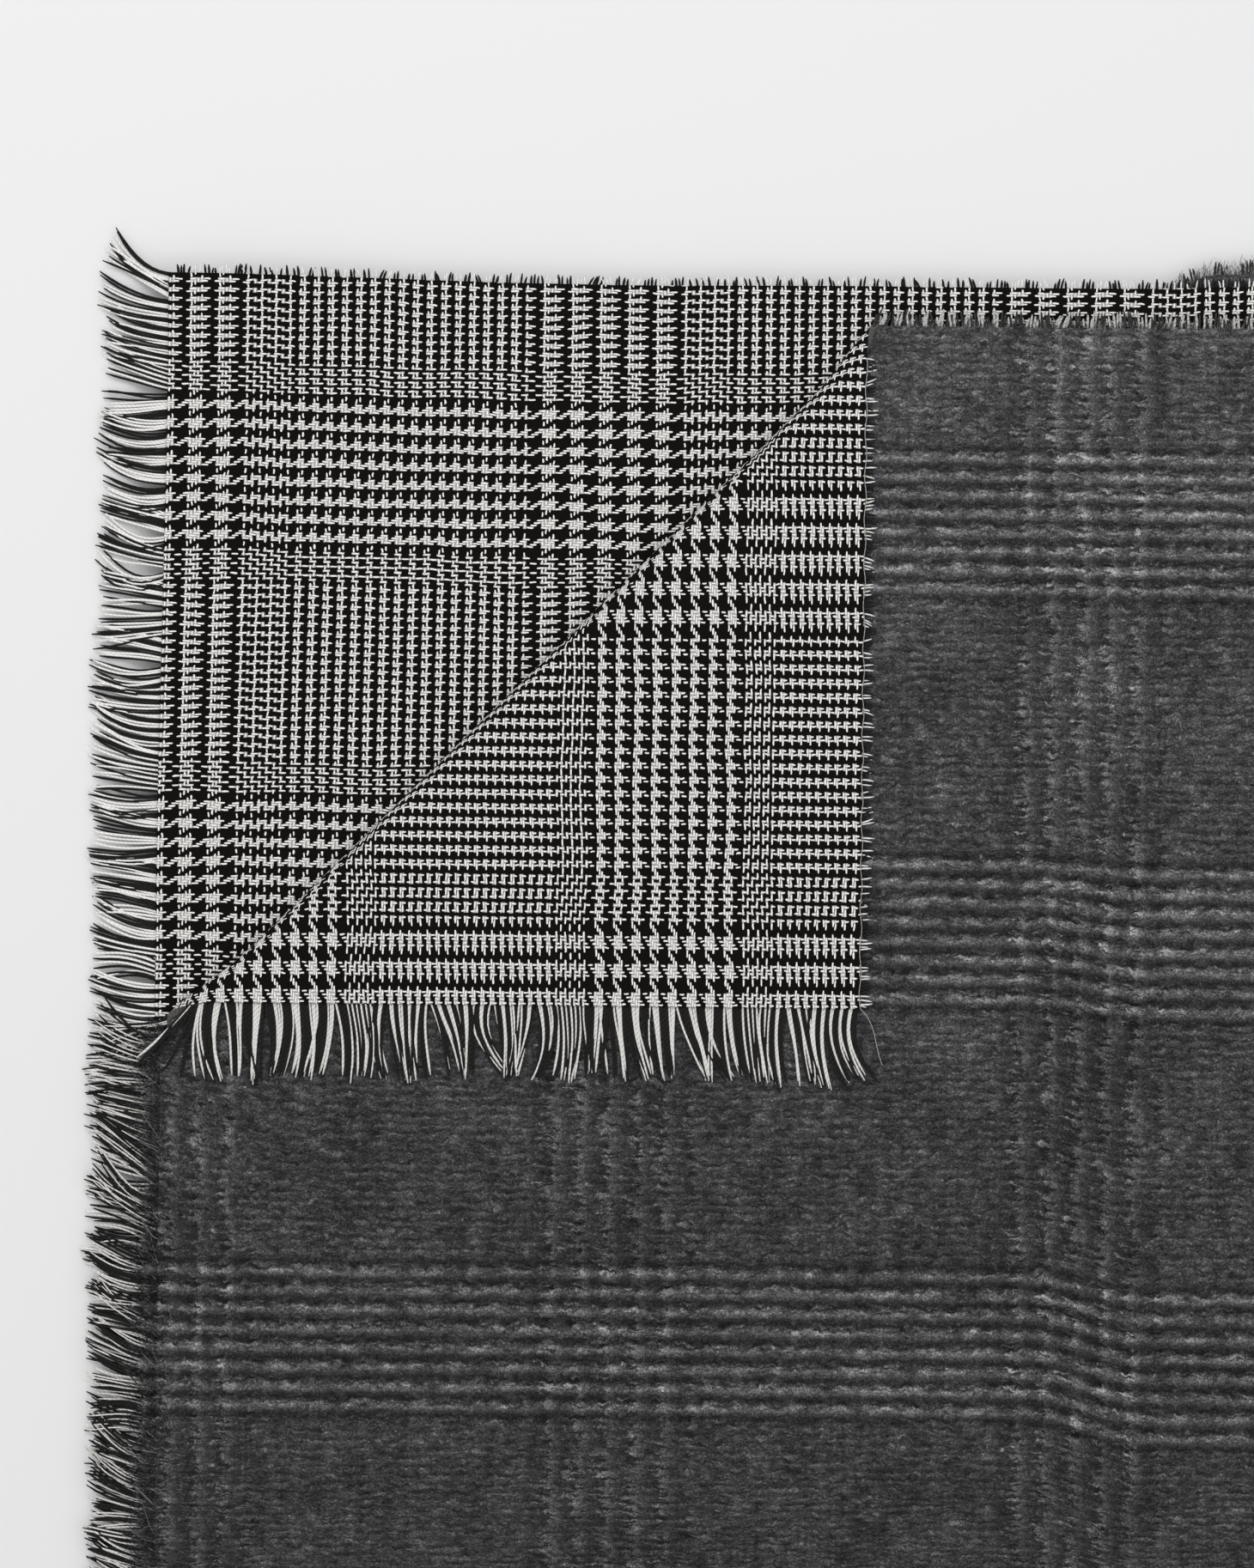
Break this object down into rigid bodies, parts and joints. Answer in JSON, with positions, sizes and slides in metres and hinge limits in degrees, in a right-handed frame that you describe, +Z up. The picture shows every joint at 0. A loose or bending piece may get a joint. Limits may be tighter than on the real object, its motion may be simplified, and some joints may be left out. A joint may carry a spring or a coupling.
{
  "type": "folded throw blanket",
  "caption": "Woven wool throw folded into quarters, check on one face and brushed charcoal on the other, with one fringed corner turned back.",
  "frame": {"origin": "middle of the folded throw's footprint, fringes included, on the surface it lies on", "axes": "+X along the warp, from the fringed edges to the side fold; +Y from the front fold to the cut edges; +Z up through the layers"},
  "size_m": [0.9668, 0.6648, 0.0166],
  "materials": {
    "check_face": "matte black and off-white woven check",
    "brushed_face": "matte charcoal brushed pile",
    "fringe_yarn": "loose black and off-white yarn ends",
    "catch_thread": "thin pale thread"
  },
  "bodies": {
    "lower_half": {"bottom_panel": "check_face", "third_panel": "brushed_face", "lower_front_fold": "brushed_face", "bottom_fringe": "fringe_yarn", "third_fringe": "fringe_yarn", "bottom_cut_edge": "fringe_yarn", "third_cut_edge": "fringe_yarn", "side_fold_inner": "check_face", "side_fold_outer": "brushed_face"},
    "upper_half": {"second_panel": "check_face", "top_panel": "brushed_face", "upper_front_fold": "brushed_face", "second_fringe": "fringe_yarn", "top_fringe": "fringe_yarn", "second_cut_edge": "fringe_yarn", "top_cut_edge": "fringe_yarn", "corner_crease": "check_face"},
    "corner": {"corner_flap": "check_face", "corner_fringe": "fringe_yarn", "corner_cut_edge": "fringe_yarn", "catch_thread": "catch_thread"}
  },
  "joints": [
    {"name": "half_opens", "type": "hinge", "parent": "lower_half", "child": "upper_half", "pos_m": [0.47685, 0, 0.0066], "axis": [0, 1, 0], "range_deg": [0, 178], "deforming": ["side_fold_inner", "side_fold_outer"]},
    {"name": "corner_turns_back", "type": "hinge", "parent": "upper_half", "child": "corner", "pos_m": [-0.2759, 0.13986, 0.0134], "axis": [-0.7071, -0.7071, 0], "range_deg": [0, 179], "deforming": ["corner_crease"]}
  ]
}
